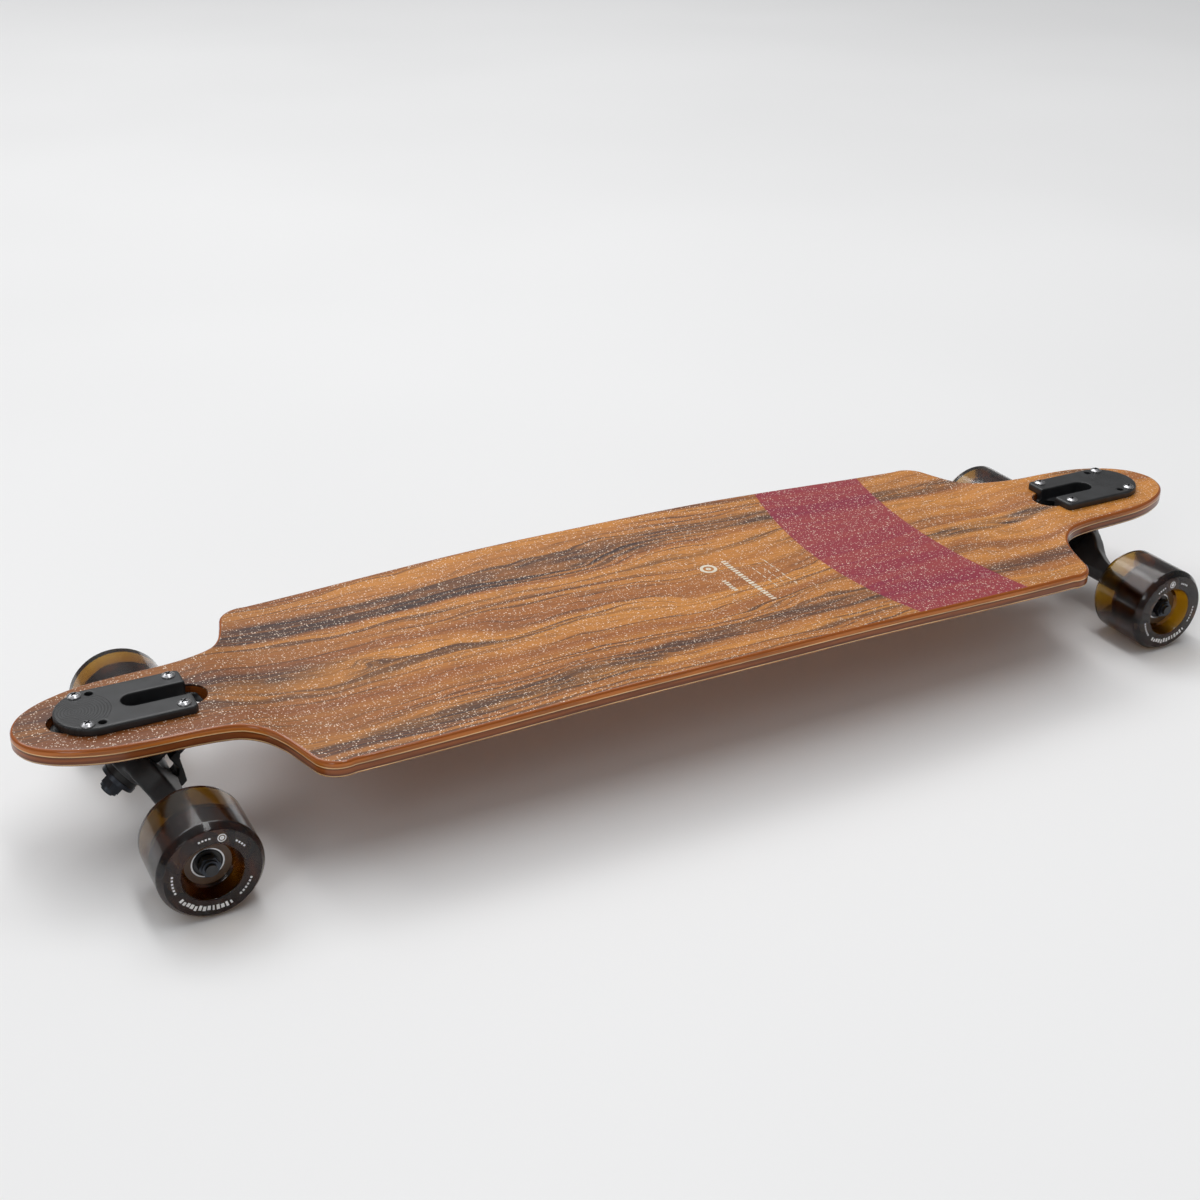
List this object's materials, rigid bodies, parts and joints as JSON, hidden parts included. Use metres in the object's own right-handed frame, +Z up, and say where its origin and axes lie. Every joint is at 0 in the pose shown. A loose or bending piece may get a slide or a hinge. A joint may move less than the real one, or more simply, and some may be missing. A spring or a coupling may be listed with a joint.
{
  "type": "drop-through longboard skateboard",
  "caption": "Symmetrical drop-through longboard skateboard with a wooden deck, two steering trucks and translucent wheels on ball bearings.",
  "frame": {"origin": "on the floor under the middle of the deck", "axes": "+X towards the nose along the length, +Y to the left, +Z up"},
  "size_m": [0.985, 0.2606, 0.0982],
  "materials": {
    "deck_top_wood": "satin clear coat with clear glitter grip, one wine-red band",
    "deck_core_wood": "satin, cross-banded plies",
    "deck_bottom_wood": "satin",
    "cast_black": "satin black powder coat",
    "bolt_steel": "bright zinc",
    "dark_steel": "black oxide",
    "axle_steel": "ground",
    "bearing_steel": "polished",
    "bearing_shield": "black",
    "cage_nylon": "matte",
    "bushing_urethane": "satin",
    "wheel_urethane": "translucent smoky amber, glossy",
    "hub_plastic": "translucent smoky amber"
  },
  "bodies": {
    "deck": {"deck_core": "deck_core_wood", "top_veneer": "deck_top_wood", "bottom_veneer": "deck_bottom_wood", "front_baseplate": "cast_black", "front_pivot_cup": "bushing_urethane", "front_mounting_bolts": "bolt_steel", "front_mounting_locknuts": "bolt_steel", "front_kingpin": "dark_steel", "front_kingpin_nut": "dark_steel", "front_cup_washers": "dark_steel", "front_boardside_bushing": "bushing_urethane", "front_roadside_bushing": "bushing_urethane", "rear_baseplate": "cast_black", "rear_pivot_cup": "bushing_urethane", "rear_mounting_bolts": "bolt_steel", "rear_mounting_locknuts": "bolt_steel", "rear_kingpin": "dark_steel", "rear_kingpin_nut": "dark_steel", "rear_cup_washers": "dark_steel", "rear_boardside_bushing": "bushing_urethane", "rear_roadside_bushing": "bushing_urethane"},
    "front_hanger": {"front_hanger": "cast_black", "front_axle": "axle_steel", "front_axle_nuts": "dark_steel", "front_speed_washers": "axle_steel", "front_bearing_inner_rings": "bearing_steel", "front_bearing_spacers": "axle_steel"},
    "rear_hanger": {"rear_hanger": "cast_black", "rear_axle": "axle_steel", "rear_axle_nuts": "dark_steel", "rear_speed_washers": "axle_steel", "rear_bearing_inner_rings": "bearing_steel", "rear_bearing_spacers": "axle_steel"},
    "front_left_wheel": {"front_left_wheel_tyre": "wheel_urethane", "front_left_wheel_core": "hub_plastic", "front_left_bearing_outer_rings": "bearing_steel", "front_left_bearing_shields": "bearing_shield"},
    "front_right_wheel": {"front_right_wheel_tyre": "wheel_urethane", "front_right_wheel_core": "hub_plastic", "front_right_bearing_outer_rings": "bearing_steel", "front_right_bearing_shields": "bearing_shield"},
    "rear_left_wheel": {"rear_left_wheel_tyre": "wheel_urethane", "rear_left_wheel_core": "hub_plastic", "rear_left_bearing_outer_rings": "bearing_steel", "rear_left_bearing_shields": "bearing_shield"},
    "rear_right_wheel": {"rear_right_wheel_tyre": "wheel_urethane", "rear_right_wheel_core": "hub_plastic", "rear_right_bearing_outer_rings": "bearing_steel", "rear_right_bearing_shields": "bearing_shield"},
    "front_left_cages": {"front_left_bearing_balls": "bearing_steel", "front_left_ball_cages": "cage_nylon"},
    "front_right_cages": {"front_right_bearing_balls": "bearing_steel", "front_right_ball_cages": "cage_nylon"},
    "rear_left_cages": {"rear_left_bearing_balls": "bearing_steel", "rear_left_ball_cages": "cage_nylon"},
    "rear_right_cages": {"rear_right_bearing_balls": "bearing_steel", "rear_right_ball_cages": "cage_nylon"}
  },
  "joints": [
    {"name": "front_steer", "type": "hinge", "parent": "deck", "child": "front_hanger", "pos_m": [0.4135, 0, 0.0506], "axis": [0.6428, 0, 0.766], "range_deg": [-15, 15], "stiffness_Nm_per_rad": 90, "deforming": ["front_boardside_bushing", "front_roadside_bushing"]},
    {"name": "rear_steer", "type": "hinge", "parent": "deck", "child": "rear_hanger", "pos_m": [-0.4135, 0, 0.0506], "axis": [-0.6428, 0, 0.766], "range_deg": [-15, 15], "stiffness_Nm_per_rad": 90, "deforming": ["rear_boardside_bushing", "rear_roadside_bushing"]},
    {"name": "front_left_roll", "type": "hinge", "parent": "front_hanger", "child": "front_left_wheel", "pos_m": [0.4005, 0.1033, 0.035], "axis": [0, 1, 0], "continuous": true},
    {"name": "front_left_cage_roll", "type": "hinge", "parent": "front_hanger", "child": "front_left_cages", "pos_m": [0.4005, 0.1033, 0.035], "axis": [0, 1, 0], "continuous": true},
    {"name": "front_right_roll", "type": "hinge", "parent": "front_hanger", "child": "front_right_wheel", "pos_m": [0.4005, -0.1033, 0.035], "axis": [0, 1, 0], "continuous": true},
    {"name": "front_right_cage_roll", "type": "hinge", "parent": "front_hanger", "child": "front_right_cages", "pos_m": [0.4005, -0.1033, 0.035], "axis": [0, 1, 0], "continuous": true},
    {"name": "rear_left_roll", "type": "hinge", "parent": "rear_hanger", "child": "rear_left_wheel", "pos_m": [-0.4005, 0.1033, 0.035], "axis": [0, 1, 0], "continuous": true},
    {"name": "rear_left_cage_roll", "type": "hinge", "parent": "rear_hanger", "child": "rear_left_cages", "pos_m": [-0.4005, 0.1033, 0.035], "axis": [0, 1, 0], "continuous": true},
    {"name": "rear_right_roll", "type": "hinge", "parent": "rear_hanger", "child": "rear_right_wheel", "pos_m": [-0.4005, -0.1033, 0.035], "axis": [0, 1, 0], "continuous": true},
    {"name": "rear_right_cage_roll", "type": "hinge", "parent": "rear_hanger", "child": "rear_right_cages", "pos_m": [-0.4005, -0.1033, 0.035], "axis": [0, 1, 0], "continuous": true}
  ],
  "couplings": [
    {"joint": "front_left_cage_roll", "follows": "front_left_roll", "ratio": 0.63},
    {"joint": "front_right_cage_roll", "follows": "front_right_roll", "ratio": 0.63},
    {"joint": "rear_left_cage_roll", "follows": "rear_left_roll", "ratio": 0.63},
    {"joint": "rear_right_cage_roll", "follows": "rear_right_roll", "ratio": 0.63}
  ]
}
